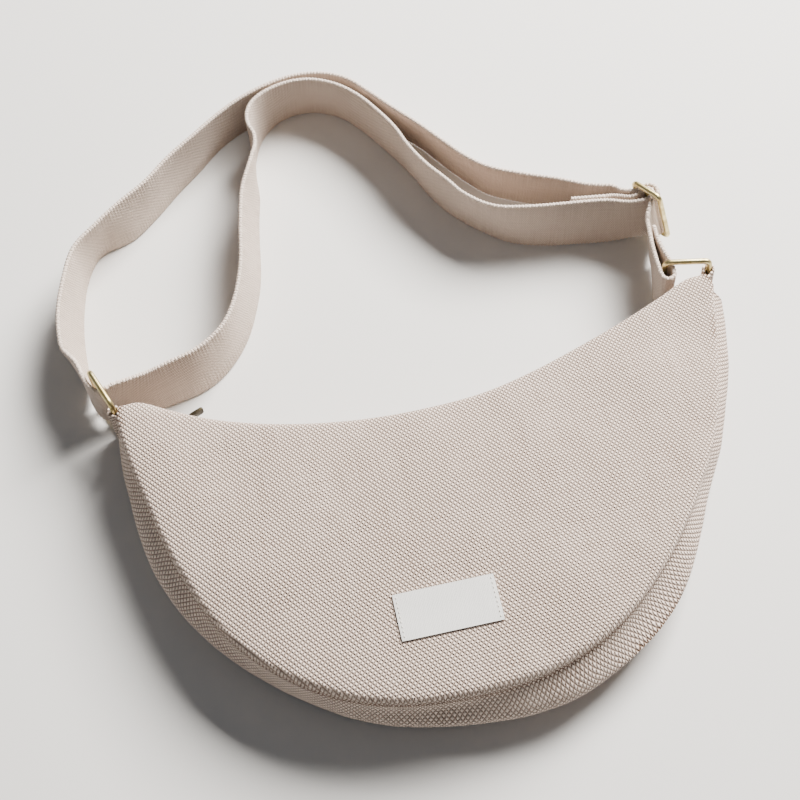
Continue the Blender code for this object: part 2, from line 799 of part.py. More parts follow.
def left_ring_rows(tightest):
    """Way points of the strap through the left ring and round its far bar."""
    frame = ring_frame(-1)
    across, side, up = (frame.col[axis].xyz for axis in range(3))
    bar = ring_bar(-1, 1)
    rows = []
    for bend in LEFT_BEND:
        point = bar + across * (bend.along * ring_length()) + side * (bend.out * tightest)
        rows.append(band_row(point, up))
    return rows


def end_loop_rows():
    """Way points of the loop that the strap's other end makes round the right ring's far bar."""
    bar = ring_bar(1, 1)
    across = ring_frame(1).col[0].xyz
    slope = across.z / across.xy.length_squared
    rows = []
    for row in END_LOOP:
        offset = Vector((row.across * END_LOOP_WIDTH, row.along * END_LOOP_LENGTH, 0.0))
        offset.z = slope * offset.dot(across)
        lean = radians(row.lean)
        rows.append(band_row(bar + offset, Vector((-sin(lean), 0.0, cos(lean)))))
    return rows


def strap_way():
    """The whole way of the strap: sewn end, inner run, left ring, outer run, right ring."""
    inner_bend = RING_WIRE / 2.0 + SEAT_GAP + STRAP_THICKNESS / 2.0
    outer_bend = inner_bend + STRAP_THICKNESS + SLIDE_GAP
    way = flap_rows() + pass_rows(SEWN_END_IN)
    way += slider_rows(arc_pairs(inner_bend, 180.0, 0.0, 6))
    way += pass_rows(SEWN_END_OUT) + run_rows(INNER_RUN)
    way += left_ring_rows(inner_bend) + run_rows(OUTER_RUN) + pass_rows(OUTER_RUN_IN)
    way += slider_rows(arc_pairs(outer_bend, 180.0, 0.0, 8))
    return way + pass_rows(OUTER_RUN_OUT) + end_loop_rows()


def build_bag(finishes):
    """The hollow canvas shell: two panels, gusset and the two bands beside the zip."""
    stations = bag_stations(BAG_SEGMENTS)
    canvas = finishes["canvas"]
    front = [front_section(station) for station in stations]
    gusset = [gusset_section(station) for station in stations]
    band_front = [band_section(station, True) for station in stations]
    band_back = [band_section(station, False) for station in stations]
    rows = 3
    back = []
    for station in stations:
        foot, edge = foot_point(station), edge_point(station)
        back.append([edge + (foot - edge) * (row / rows) for row in range(rows + 1)])
    return [
        cloth_sheet("front_panel", front, canvas, CANVAS, UP),
        cloth_sheet("back_panel", back, canvas, CANVAS, -UP),
        cloth_sheet("gusset", gusset, canvas, CANVAS, Vector((0.0, -1.0, 0.0))),
        cloth_sheet("zip_band_front", band_front, canvas, CANVAS, Vector((0.0, 1.0, 0.0))),
        cloth_sheet("zip_band_back", band_back, canvas, CANVAS, Vector((0.0, 1.0, 0.0))),
    ]


def zip_height(station):
    """Height of the zip's middle line over the table."""
    return (border_height(station, 0) + CANVAS) / 2.0


def build_zip_chain(finish):
    """Zip tape with its closed teeth, behind the mouth between the two bands."""
    half_tape, half_teeth = ZIP_TAPE_WIDTH / 2.0, ZIP_TEETH_WIDTH / 2.0
    front = ZIP_TAPE_THICKNESS / 2.0
    profile = [
        (-front, -half_tape), (front, -half_tape), (front, -half_teeth),
        (front + ZIP_TEETH_PROUD, -half_teeth * 0.7), (front + ZIP_TEETH_PROUD, half_teeth * 0.7),
        (front, half_teeth), (front, half_tape), (-front, half_tape),
    ]
    recess = CANVAS + SEAM_GAP + front
    centres, tangents, normals = [], [], []
    for station in bag_stations(BAG_SEGMENTS):
        if abs(station) > ZIP_END_STATION:
            continue
        out = outward(edge_point, station, -1.0)
        centres.append(edge_point(station) - out * recess + UP * zip_height(station))
        tangents.append(Vector((-out.y, out.x, 0.0)) * -1.0)
        normals.append(UP)
    maker = bmesh.new()
    tube(maker, centres, tangents, normals, [(-side, rise) for side, rise in profile], False)
    return finish_object("zip_chain", maker, finish)


def zip_slider_place():
    """Frame on the zip: X along it towards the right horn, Y out of the bag, Z up."""
    station = ZIP_SLIDER_STATION
    out = outward(edge_point, station, -1.0)
    along = Vector((out.y, -out.x, 0.0))
    teeth_face = -(CANVAS + SEAM_GAP) + ZIP_TEETH_PROUD
    origin = edge_point(station) + UP * zip_height(station) + out * teeth_face
    matrix = Matrix.Identity(4)
    for row in range(3):
        matrix[row][0] = along[row]
        matrix[row][1] = out[row]
        matrix[row][2] = UP[row]
        matrix[row][3] = origin[row]
    return matrix


def box_mesh(maker, low, high):
    """Add a plain box between two corners."""
    corners = []
    for x in (low[0], high[0]):
        for y in (low[1], high[1]):
            for z in (low[2], high[2]):
                corners.append(maker.verts.new((x, y, z)))
    for face in ((0, 1, 3, 2), (4, 6, 7, 5), (0, 4, 5, 1), (2, 3, 7, 6), (0, 2, 6, 4), (1, 5, 7, 3)):
        maker.faces.new([corners[index] for index in face])


def bridge_inside():
    """Room under the slider's bridge for the pull's cross bar."""
    return ZIP_PULL_THICKNESS + 2.0 * SEAT_GAP


def build_zip_slider(finish):
    """Zip slider: a plate with drawn-in shoulders, and the bridge that holds the pull."""
    half, wide = ZIP_SLIDER_LENGTH / 2.0, ZIP_SLIDER_WIDTH / 2.0
    base, top = SEAM_GAP, SEAM_GAP + ZIP_SLIDER_PLATE
    outline = ((-half, -0.62 * wide), (-0.3 * half, -wide), (half, -0.86 * wide),
               (half, 0.86 * wide), (-0.3 * half, wide), (-half, 0.62 * wide))
    maker = bmesh.new()
    lower = [maker.verts.new((x, base, z)) for x, z in outline]
    upper = [maker.verts.new((x, top, z)) for x, z in outline]
    maker.faces.new(lower)
    maker.faces.new(list(reversed(upper)))
    for index in range(len(outline)):
        after = (index + 1) % len(outline)
        maker.faces.new((lower[index], upper[index], upper[after], lower[after]))
    slider = finish_object("zip_slider", maker, finish)
    inside, wire = bridge_inside(), ZIP_BRIDGE_WIRE
    leg = ZIP_PULL_THICKNESS / 2.0 + SEAT_GAP * 2.0
    arch = ((-leg - wire, -0.2), (-leg - wire, 0.55), (-leg - 0.2 * wire, 1.0), (leg + 0.2 * wire, 1.0),
            (leg + wire, 0.55), (leg + wire, -0.2), (leg, -0.2), (leg, 0.5), (-leg, 0.5), (-leg, -0.2))
    bridge_maker = bmesh.new()
    rise = inside + wire
    loops = []
    for z in (-ZIP_BRIDGE_WIDTH / 2.0, ZIP_BRIDGE_WIDTH / 2.0):
        ring = []
        for x, share in arch:
            inner = share in (0.5,) and abs(x) <= leg
            height = inside if inner else share * rise
            ring.append(bridge_maker.verts.new((x, top + height, z)))
        loops.append(ring)
    bridge_maker.faces.new(loops[0])
    bridge_maker.faces.new(list(reversed(loops[1])))
    for index in range(len(arch)):
        after = (index + 1) % len(arch)
        bridge_maker.faces.new((loops[0][index], loops[1][index], loops[1][after], loops[0][after]))
    bridge = finish_object("zip_slider_bridge_guide", bridge_maker, finish)
    bridge.hide_render = True
    bridge.display_type = "WIRE"
    bridge.parent = slider
    join = slider.modifiers.new("bridge", "BOOLEAN")
    join.operation = "UNION"
    join.solver = "EXACT"
    join.object = bridge
    slider.matrix_world = zip_slider_place()
    return slider


def build_zip_pull(finish):
    """Flat pull with an eye round the bridge; its origin is on the hinge line."""
    wide, thick = ZIP_PULL_WIDTH / 2.0, ZIP_PULL_THICKNESS / 2.0
    tail = ZIP_PULL_LENGTH - thick
    neck = 0.82 * wide
    tip = 0.6 * wide
    outline = (
        (-thick, -neck), (tail * 0.45, -neck), (tail * 0.62, -wide), (tail * 0.94, -wide), (tail, -tip),
        (tail, tip), (tail * 0.94, wide), (tail * 0.62, wide), (tail * 0.45, neck), (-thick, neck),
    )
    maker = bmesh.new()
    front = [maker.verts.new((x, -thick, z)) for x, z in outline]
    rear = [maker.verts.new((x, thick, z)) for x, z in outline]
    maker.faces.new(front)
    maker.faces.new(list(reversed(rear)))
    for index in range(len(outline)):
        after = (index + 1) % len(outline)
        maker.faces.new((front[index], rear[index], rear[after], front[after]))
    pull = finish_object("zip_pull", maker, finish)
    eye_maker = bmesh.new()
    eye_half = ZIP_BRIDGE_WIDTH / 2.0 + SEAT_GAP
    box_mesh(eye_maker, (thick, -3.0 * thick, -eye_half), (thick + ZIP_PULL_EYE, 3.0 * thick, eye_half))
    eye = finish_object("zip_pull_eye_guide", eye_maker, finish)
    eye.hide_render = True
    eye.display_type = "WIRE"
    eye.parent = pull
    cut = pull.modifiers.new("eye", "BOOLEAN")
    cut.operation = "DIFFERENCE"
    cut.solver = "EXACT"
    cut.object = eye
    hinge = Vector((0.0, SEAM_GAP + ZIP_SLIDER_PLATE + bridge_inside() / 2.0, 0.0))
    pull.matrix_world = (
        zip_slider_place() @ Matrix.Translation(hinge) @ Matrix.Rotation(radians(ZIP_PULL_SWING), 4, "Z")
    )
    return pull


def build_label(finish):
    """Bare woven label, sewn on near the lowest point of the front panel."""
    columns, rows = 8, 4
    centre = Vector((LABEL_X * HALF_LENGTH, LABEL_Y * BAG_DROP, 0.0))
    sections = []
    for column in range(columns + 1):
        section = []
        for row in range(rows + 1):
            x = centre.x + LABEL_WIDTH * (column / columns - 0.5)
            y = centre.y + LABEL_HEIGHT * (0.5 - row / rows)
            height = panel_height_at(x, y) + SEAM_GAP + LABEL_THICKNESS
            section.append(Vector((x, y, height)))
        sections.append(section)
    return cloth_sheet("label", sections, finish, LABEL_THICKNESS, UP)


def panel_height_at(x, y):
    """Height of the front panel's outer side at a plan point well inside its borders."""
    low, high = -1.0, 1.0
    target = Vector((x, y, 0.0))
    for _ in range(40):
        station = (low + high) / 2.0
        seam, edge = seam_point(station), edge_point(station)
        across = seam - edge
        side = across.x * (target.y - edge.y) - across.y * (target.x - edge.x)
        if side > 0.0:
            low = station
        else:
            high = station
    share = (target - edge).length / across.length
    return front_height(station, share, target)


def build_hardware(finishes):
    """Rings, slider, tabs and strap."""
    brass = finishes["antique_brass"]
    pieces = []
    for side, word in ((-1, "left"), (1, "right")):
        ring = wire_frame(f"ring_{word}", ring_length(), ring_height(), (), brass)
        ring.matrix_world = ring_frame(side)
        pieces.append(ring)
        pieces.append(build_tab(side, f"tab_{word}", finishes["canvas"]))
    slider = wire_frame("strap_slider", slider_width(), ring_height(), (0.0,), brass)
    slider.matrix_world = slider_matrix()
    pieces.append(slider)
    webbing = finishes["webbing"]
    pieces.append(ribbon("strap", strap_way(), STRAP_WIDTH, STRAP_THICKNESS, webbing, STRAP_STEP))
    return pieces


def centre_on_origin(pieces):
    """Hang every piece on one empty, so that the origin is below the middle of the whole."""
    bpy.context.view_layer.update()
    corners = []
    for piece in pieces:
        corners += [piece.matrix_world @ vertex.co for vertex in piece.data.vertices]
    middle = [
        (min(corner[axis] for corner in corners) + max(corner[axis] for corner in corners)) / 2.0
        for axis in range(2)
    ]
    lowest = min(corner.z for corner in corners)
    anchor = bpy.data.objects.new("bag_anchor", None)
    bpy.context.scene.collection.objects.link(anchor)
    for piece in pieces:
        place = piece.matrix_world.copy()
        piece.parent = anchor
        piece.matrix_world = place
    anchor.location = (-middle[0], -middle[1], -lowest)


def main():
    clear_scene()
    finishes = {name: make_finish(name) for name in FINISHES}
    pieces = build_bag(finishes)
    pieces.append(build_zip_chain(finishes["zip_tape"]))
    pieces.append(build_zip_slider(finishes["dark_brass"]))
    pieces.append(build_zip_pull(finishes["dark_brass"]))
    pieces.append(build_label(finishes["label_cloth"]))
    pieces += build_hardware(finishes)
    centre_on_origin(pieces)


main()
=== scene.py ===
"""Looks of a half-moon canvas belt bag, built over the solids of the frame."""
from itertools import permutations
from math import cos, pi, radians, sin

import bmesh
import bpy
import numpy as np
from bpy.props import FloatProperty, FloatVectorProperty, IntProperty, PointerProperty
from mathutils import Matrix, Vector, noise
from mathutils.bvhtree import BVHTree
from mathutils.kdtree import KDTree


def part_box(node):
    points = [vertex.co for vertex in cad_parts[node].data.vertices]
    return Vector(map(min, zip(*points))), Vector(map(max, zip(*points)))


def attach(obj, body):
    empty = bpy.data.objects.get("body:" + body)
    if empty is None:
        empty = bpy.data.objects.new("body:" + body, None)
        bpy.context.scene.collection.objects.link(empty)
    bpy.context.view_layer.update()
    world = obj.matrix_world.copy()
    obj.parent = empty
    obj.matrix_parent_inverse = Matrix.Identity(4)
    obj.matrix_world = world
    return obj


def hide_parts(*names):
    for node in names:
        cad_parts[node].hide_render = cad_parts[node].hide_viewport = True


bl_info = {
    "name": "Belt bag looks",
    "version": (1, 0, 0),
    "blender": (4, 5, 0),
    "location": "3D View > Sidebar > Belt bag",
    "description": "Canvas shell, webbing strap, brass pieces, zip and label of a belt bag",
    "category": "Object",
}

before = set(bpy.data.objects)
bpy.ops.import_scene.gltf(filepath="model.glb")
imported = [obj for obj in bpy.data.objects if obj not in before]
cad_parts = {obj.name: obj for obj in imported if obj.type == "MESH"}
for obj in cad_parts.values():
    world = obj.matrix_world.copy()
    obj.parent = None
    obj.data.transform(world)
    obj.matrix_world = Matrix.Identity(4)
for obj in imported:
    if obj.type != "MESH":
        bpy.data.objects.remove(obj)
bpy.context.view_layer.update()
BAG, PULL = "bag", "pull"
UP = Vector((0.0, 0.0, 1.0))


# Settings that a user can change

def length(name, text, value):
    """A length in metres."""
    return FloatProperty(name=name, description=text, default=value, min=0.0, unit="LENGTH", precision=5)


def colour(name, text, value):
    """A linear colour."""
    return FloatVectorProperty(
        name=name, description=text, default=value, min=0.0, max=1.0, size=3, subtype="COLOR")


class ClothSettings(bpy.types.PropertyGroup):
    weave_along: length("Weave along", "Canvas weave period along the bag", 0.00215)
    weave_across: length("Weave across", "Canvas weave period across the bag", 0.00253)
    weave_relief: length("Weave relief", "Height of the canvas threads", 0.0007)
    ripple: length("Ripple", "Height of the soft unevenness of the panels", 0.00035)
    rib_along: length("Webbing period", "Webbing weave period along the strap", 0.0011)
    rib_across: length("Webbing rib", "Webbing weave period across the strap", 0.0013)
    selvedge_pitch: length("Selvedge pitch", "Distance between the loops of the strap's edge", 0.00176)
    selvedge_height: length("Selvedge height", "How far the loops of the strap's edge stand out", 0.0005)
    # The thread-top colours are the threads' own colour with painted light on their tops; the hole colours are
    # painted shade between the threads.
    canvas_lit_thread: colour("Canvas, thread tops", "Colour of the canvas threads", (0.93, 0.765, 0.655))
    canvas_hole_shade: colour("Canvas, holes", "Colour between the canvas threads", (0.12, 0.062, 0.034))
    webbing_lit_thread: colour("Webbing, thread tops", "Colour of the webbing threads", (0.78, 0.655, 0.56))
    webbing_hole_shade: colour("Webbing, holes", "Colour between the webbing threads", (0.24, 0.15, 0.095))
    thread: colour("Sewing thread", "Colour of the stitches", (0.84, 0.79, 0.72))
    label: colour("Label", "Colour of the bare label", (0.83, 0.82, 0.79))
    tape: colour("Zip tape", "Colour of the zip's tape and teeth", (0.20, 0.165, 0.10))


class MetalSettings(bpy.types.PropertyGroup):
    brass: colour("Antique brass", "Colour of the rubbed brass", (0.80, 0.70, 0.38))
    patina: colour("Patina", "Colour of the dull brass", (0.42, 0.33, 0.14))
    dark: colour("Blackened brass", "Colour of the zip's metal", (0.075, 0.062, 0.04))
    smoothness: IntProperty(name="Wire sides", description="Sides of the round wires", default=6, min=3, max=12)


class StageSettings(bpy.types.PropertyGroup):
    key: FloatProperty(
        name="Key light", description="Power of the light from behind, right", default=160.0, unit="POWER")
    fill: FloatProperty(
        name="Fill light", description="Power of the light from the left", default=1.5, unit="POWER")
    sky: FloatProperty(name="Sky", description="Strength of the even light", default=0.13)
    floor: colour("Floor", "Colour of the floor", (0.74, 0.73, 0.71))


# Node materials

class Finish:
    """A node material being put together. Each method adds a node and gives back its output."""

    def __init__(self, name, roughness, metallic=0.0):
        self.material = bpy.data.materials.new(name)
        self.material.use_nodes = True
        self.tree = self.material.node_tree
        self.shader = self.tree.nodes["Principled BSDF"]
        self.shader.inputs["Roughness"].default_value = roughness
        self.shader.inputs["Metallic"].default_value = metallic

    def node(self, kind, inputs=None, **settings):
        node = self.tree.nodes.new(kind)
        for key, value in settings.items():
            setattr(node, key, value)
        for key, value in (inputs or {}).items():
            if isinstance(value, bpy.types.NodeSocket):
                self.tree.links.new(value, node.inputs[key])
            else:
                node.inputs[key].default_value = value
        return node

    def calc(self, operation, first, second=0.0, third=0.0):
        return self.node("ShaderNodeMath", {0: first, 1: second, 2: third}, operation=operation).outputs[0]

    def mix(self, share, first, second):
        inputs = {0: share, 6: first, 7: second}
        return self.node("ShaderNodeMix", inputs, data_type="RGBA").outputs[2]

    def noise(self, vector, scale, detail=2.0):
        inputs = {"Vector": vector, "Scale": scale, "Detail": detail}
        return self.node("ShaderNodeTexNoise", inputs).outputs["Fac"]

    def ramp(self, value, low, high):
        """Value stretched so that low becomes 0 and high becomes 1."""
        inputs = {"Value": value, "From Min": low, "From Max": high}
        return self.node("ShaderNodeMapRange", inputs, interpolation_type="SMOOTHSTEP").outputs[0]

    def plan(self):
        """The cloth's own coordinates in metres: the vector, along, and across."""
        vector = self.node("ShaderNodeUVMap", uv_map="cloth").outputs["UV"]
        parts = self.node("ShaderNodeSeparateXYZ", {0: vector})
        return vector, parts.outputs[0], parts.outputs[1]

    def point(self):
        return self.node("ShaderNodeTexCoord").outputs["Object"]

    def thread_tone(self, along, across, fine, coarse):
        """Uneven threads: noise that is drawn out along one direction."""
        vector = self.node("ShaderNodeCombineXYZ", {
            0: self.calc("MULTIPLY", along, fine), 1: self.calc("MULTIPLY", across, coarse)}).outputs[0]
        return self.noise(vector, 1.0, 1.0)

    def paint(self, colour_socket, roughness=None, height=None, distance=0.0, strength=1.0):
        links = self.tree.links
        links.new(colour_socket, self.shader.inputs["Base Color"])
        if roughness is not None:
            links.new(roughness, self.shader.inputs["Roughness"])
        if height is not None:
            bump = self.node("ShaderNodeBump", {"Height": height, "Distance": distance, "Strength": strength})
            links.new(bump.outputs["Normal"], self.shader.inputs["Normal"])
        return self.material


def rgba(values):
    return (*values, 1.0)


def woven(name, light, dark, periods, relief, contrast, fleck, highlight_half_width=None):
    """A plain weave: rounded thread tops in a checker, lit by painted light, with painted shade in the dark
    holes between them; painted shade near the seams and, if asked, a painted highlight along the band's edges.
    """
    cloth = Finish(name, 0.93)
    cloth.shader.inputs["Sheen Weight"].default_value = 0.12
    cloth.shader.inputs["Specular IOR Level"].default_value = 0.25
    vector, along, across = cloth.plan()
    sway = cloth.calc("SUBTRACT", cloth.noise(vector, 120.0), 0.5)
    along_sway = cloth.calc("ADD", along, cloth.calc("MULTIPLY", sway, 0.0005))
    across_sway = cloth.calc("SUBTRACT", across, cloth.calc("MULTIPLY", sway, 0.0004))
    waves = []
    for value, period in ((along_sway, periods[0]), (across_sway, periods[1])):
        waves.append(cloth.calc("COSINE", cloth.calc("MULTIPLY", value, 2.0 * pi / period)))
    tops = cloth.calc("MULTIPLY_ADD", cloth.calc("MULTIPLY", waves[0], waves[1]), 0.5, 0.5)
    squares = [cloth.calc("SUBTRACT", 1.0, cloth.calc("MULTIPLY", wave, wave)) for wave in waves]
    holes = cloth.calc("MULTIPLY", squares[0], squares[1])
    slub = cloth.calc("ADD", cloth.thread_tone(along, across, 45.0, 1700.0),
                      cloth.thread_tone(along, across, 1500.0, 40.0))
    slub = cloth.calc("MULTIPLY_ADD", slub, 0.34, -0.34)
    fibre = cloth.calc("MULTIPLY_ADD", cloth.noise(vector, 2600.0, 3.0), 0.22, -0.11)
    patch = cloth.calc("MULTIPLY_ADD", cloth.noise(vector, 22.0, 3.0), 0.20, -0.10)
    # Painted light and shade of the weave: lighter on the thread tops and darker in the holes between them, by
    # the contrast.
    share = cloth.calc("MULTIPLY_ADD", tops, contrast, 0.90 - 0.62 * contrast)
    share = cloth.calc("SUBTRACT", share, cloth.calc("MULTIPLY", holes, 0.55 * contrast))
    for extra in (slub, fibre, patch):
        share = cloth.calc("ADD", share, extra)
    # Painted highlight: near the given half width, along both edges of the band, the colour is raised to the
    # full lit thread colour.
    if highlight_half_width:
        edge = cloth.ramp(cloth.calc("ABSOLUTE", across), highlight_half_width - 0.0013, highlight_half_width - 0.0002)
        share = cloth.calc("MAXIMUM", share, edge)
    # Painted shade: the cloth is darkened near its sewn rims, where the seams' creases are.
    seam = cloth.node("ShaderNodeAttribute", attribute_name="seam").outputs["Fac"]
    share = cloth.calc("SUBTRACT", share, cloth.calc("MULTIPLY", seam, 0.38))
    share = cloth.node("ShaderNodeClamp", {"Value": share}).outputs[0]
    tone = cloth.mix(share, rgba(dark), rgba(light))
    speck = cloth.ramp(cloth.noise(vector, 520.0, 1.0), 0.775, 0.80)
    tone = cloth.mix(cloth.calc("MULTIPLY", speck, fleck), tone, rgba([value * 0.45 for value in dark]))
    height = cloth.calc("SUBTRACT", tops, cloth.calc("MULTIPLY", holes, 0.6))
    height = cloth.calc("ADD", height, cloth.calc("MULTIPLY", fibre, 0.8))
    return cloth.paint(tone, height=height, distance=relief)


def thread_finish(name, tone):
    """Twisted sewing thread."""
    thread = Finish(name, 0.8)
    shade = thread.noise(thread.point(), 2400.0, 2.0)
    dull = [value * 0.72 for value in tone]
    tone = thread.mix(thread.ramp(shade, 0.35, 0.65), rgba(dull), rgba(tone))
    return thread.paint(tone, height=shade, distance=0.0001)


def metal_finish(name, bright, dull, roughness, reach):
    """Rubbed metal: bright where it is handled, dull and rougher in patches."""
    metal = Finish(name, roughness, 1.0)
    place = metal.point()
    cloud = metal.ramp(metal.noise(place, 170.0, 4.0), 0.5 - reach, 0.5 + reach)
    grain = metal.noise(place, 2800.0, 2.0)
    speck = metal.ramp(metal.noise(place, 900.0, 2.0), 0.58, 0.70)
    share = metal.calc("MULTIPLY", cloud, metal.calc("SUBTRACT", 1.0, metal.calc("MULTIPLY", speck, 0.6)))
    tone = metal.mix(share, rgba(dull), rgba(bright))
    rough = metal.calc("MULTIPLY_ADD", share, -0.16, roughness + 0.14)
    return metal.paint(tone, rough, grain, 0.00005, 0.5)


def label_finish(tone):
    """Satin label: fine ribs across, with a soft gloss."""
    label = Finish("label_satin", 0.55)
    label.shader.inputs["Sheen Weight"].default_value = 0.15
    vector, along, across = label.plan()
    rib = label.calc("SINE", label.calc("MULTIPLY", across, 2.0 * pi / 0.00042))
    cross = label.calc("SINE", label.calc("MULTIPLY", along, 2.0 * pi / 0.0007))
    height = label.calc("MULTIPLY_ADD", cross, 0.35, rib)
    shade = label.calc("ADD", label.calc("MULTIPLY", rib, 0.05), label.noise(vector, 60.0, 2.0))
    dull = [value * 0.93 for value in tone]
    tone = label.mix(label.ramp(shade, 0.3, 0.7), rgba(dull), rgba(tone))
    return label.paint(tone, height=height, distance=0.00004)


def tape_finish(tone):
    """Zip tape: a fine ribbed weave."""
    tape = Finish("zip_tape_weave", 0.85)
    vector, along, across = tape.plan()
    rib = tape.calc("SINE", tape.calc("MULTIPLY", across, 2.0 * pi / 0.0008))
    cross = tape.calc("SINE", tape.calc("MULTIPLY", along, 2.0 * pi / 0.0007))
    height = tape.calc("MULTIPLY", rib, cross)
    shade = tape.calc("MULTIPLY_ADD", height, 0.25, tape.noise(vector, 400.0, 2.0))
    dull = [value * 0.5 for value in tone]
    tone = tape.mix(tape.ramp(shade, 0.2, 0.75), rgba(dull), rgba(tone))
    return tape.paint(tone, height=height, distance=0.00008)


def moulded_finish(tone):
    """Moulded zip teeth."""
    plastic = Finish("zip_teeth_moulded", 0.38)
    shade = plastic.noise(plastic.point(), 350.0, 2.0)
    tone = plastic.mix(shade, rgba([value * 0.6 for value in tone]), rgba(tone))
    return plastic.paint(tone, height=shade, distance=0.00003)


def floor_finish(tone):
    """Pale matt floor."""
    floor = Finish("floor_matt", 0.9)
    shade = floor.noise(floor.point(), 3.0, 2.0)
    return floor.paint(floor.mix(shade, rgba([value * 0.97 for value in tone]), rgba(tone)))


# Half the width of the webbing, where its edge shows and a highlight is painted along it.
WEBBING_HALF_WIDTH = 0.015
FINISHES = {}


def finish(name):
    """The finish of that name, made when it is first asked for."""
    if name not in FINISHES:
        cloth, metal = bpy.context.scene.bag_cloth, bpy.context.scene.bag_metal
        weave = (cloth.weave_along, cloth.weave_across)
        makers = {
            "canvas": lambda: woven("canvas_weave", cloth.canvas_lit_thread, cloth.canvas_hole_shade, weave,
                                    cloth.weave_relief, 1.2, 0.8),
            "webbing": lambda: woven("webbing_weave", cloth.webbing_lit_thread, cloth.webbing_hole_shade,
                                     (cloth.rib_along, cloth.rib_across),
                                     cloth.weave_relief * 0.45, 0.75, 0.0, WEBBING_HALF_WIDTH),
            "thread": lambda: thread_finish("sewing_thread", cloth.thread),
            "brass": lambda: metal_finish("antique_brass_rubbed", metal.brass, metal.patina, 0.30, 0.22),
            "dark_brass": lambda: metal_finish("dark_brass_rubbed", metal.dark,
                                               [value * 0.4 for value in metal.dark], 0.42, 0.2),
            "label": lambda: label_finish(cloth.label),
            "tape": lambda: tape_finish(cloth.tape),
            "teeth": lambda: moulded_finish(cloth.tape),
        }
        FINISHES[name] = makers[name]()
    return FINISHES[name]


# Shared ways of making pieces

# Points along a seam, and how far the painted shade beside it reaches.
SEAM_STEP = 0.0007
SEAM_SHADE_REACH = 0.0026

# Points nearer than this are one, and edges sharper than these, in degrees, are
# creased, sewn, or the long corners of a swept solid.
MERGE_DISTANCE = 0.00001
CREASED = 55.0
SEWN = 60.0
CORNERED = 65.0


def only(item):
    """Select one object alone."""
    if bpy.context.object and bpy.context.object.mode != "OBJECT":
        bpy.ops.object.mode_set(mode="OBJECT")
    bpy.ops.object.select_all(action="DESELECT")
    item.select_set(True)
    bpy.context.view_layer.objects.active = item


def apply_modifier(item, kind, **settings):
    only(item)
    bpy.ops.object.modifier_add(type=kind)
    modifier = item.modifiers[-1]
    for key, value in settings.items():
        setattr(modifier, key, value)
    bpy.ops.object.modifier_apply(modifier=modifier.name)


def new_piece(name, vertices, faces):
    mesh = bpy.data.meshes.new(name)
    mesh.from_pydata([tuple(v) for v in vertices], [], faces)
    item = bpy.data.objects.new(name, mesh)
    bpy.context.scene.collection.objects.link(item)
    return item


def face_outwards(item):
    maker = bmesh.new()
    maker.from_mesh(item.data)
    bmesh.ops.recalc_face_normals(maker, faces=maker.faces)
    maker.to_mesh(item.data)
    maker.free()


def merged_copy(node, name, quads=True):
    """A copy of a solid's mesh, merged and, if asked, turned back into quads."""
    item = bpy.data.objects.new(name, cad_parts[node].data.copy())
    item.data.name = name
    bpy.context.scene.collection.objects.link(item)
    item.data.materials.clear()
    only(item)
    bpy.ops.mesh.customdata_custom_splitnormals_clear()
    bpy.ops.object.mode_set(mode="EDIT")
    bpy.ops.mesh.select_all(action="SELECT")
    bpy.ops.mesh.remove_doubles(threshold=MERGE_DISTANCE)
    if quads:
        bpy.ops.mesh.tris_convert_to_quads(face_threshold=radians(40.0), shape_threshold=pi)
    bpy.ops.object.mode_set(mode="OBJECT")
    return item


def refine(item, levels, crease):
    """Round a quad mesh off, with its hard edges kept by a crease."""
    maker = bmesh.new()
    maker.from_mesh(item.data)
    layer = maker.edges.layers.float.get("crease_edge") or maker.edges.layers.float.new("crease_edge")
    for edge in maker.edges:
        if len(edge.link_faces) == 2 and edge.calc_face_angle() > radians(CREASED):
            edge[layer] = crease
    maker.to_mesh(item.data)
    maker.free()
    apply_modifier(item, "SUBSURF", levels=levels, render_levels=levels)


def smooth(item, angle=48.0):
    only(item)
    bpy.ops.object.shade_smooth_by_angle(angle=radians(angle))


def seam_nearness(item, node):
    """Mark every point with how near it is to the sewn rims of its solid, for the painted shade along the
    seams.
    """
    rough = merged_copy(node, f"{node}_rims", quads=False)
    maker = bmesh.new()
    maker.from_mesh(rough.data)
    bpy.data.objects.remove(rough)
    spots = []
    for edge in maker.edges:
        if len(edge.link_faces) == 2 and edge.calc_face_angle() > radians(SEWN):
            first, second = (vertex.co.copy() for vertex in edge.verts)
            count = int(edge.calc_length() / SEAM_STEP) + 1
            spots += [first.lerp(second, step / count) for step in range(count + 1)]
    maker.free()
    if not spots:
        raise RuntimeError(f"{node} has no rims to sew")
    tree = KDTree(len(spots))
    for index, spot in enumerate(spots):
        tree.insert(spot, index)
    tree.balance()
    seam_shade = [1.0 - ramped(tree.find(vertex.co)[2], 0.0002, SEAM_SHADE_REACH) for vertex in item.data.vertices]
    attribute = item.data.attributes.new("seam", "FLOAT", "POINT")
    attribute.data.foreach_set("value", seam_shade)


def settle(item, body, finish_name, slot, *nodes):
    """Give a finished piece its finish and its body, and hide the solids that it stands for."""
    item.data.materials.clear()
    item.data.materials.append(finish(finish_name))
    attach(item, body)
    if nodes:
        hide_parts(*nodes)
    return item


def lay_cloth(item, place):
    """Give every face corner its place in the cloth, in metres, from its point and normal."""
    mesh = item.data
    layer = mesh.uv_layers.get("cloth") or mesh.uv_layers.new(name="cloth")
    places = [place(vertex.co, vertex.normal) for vertex in mesh.vertices]
    for loop in mesh.loops:
        layer.data[loop.index].uv = places[loop.vertex_index]
    for other in [uv for uv in mesh.uv_layers if uv.name != "cloth"]:
        mesh.uv_layers.remove(other)


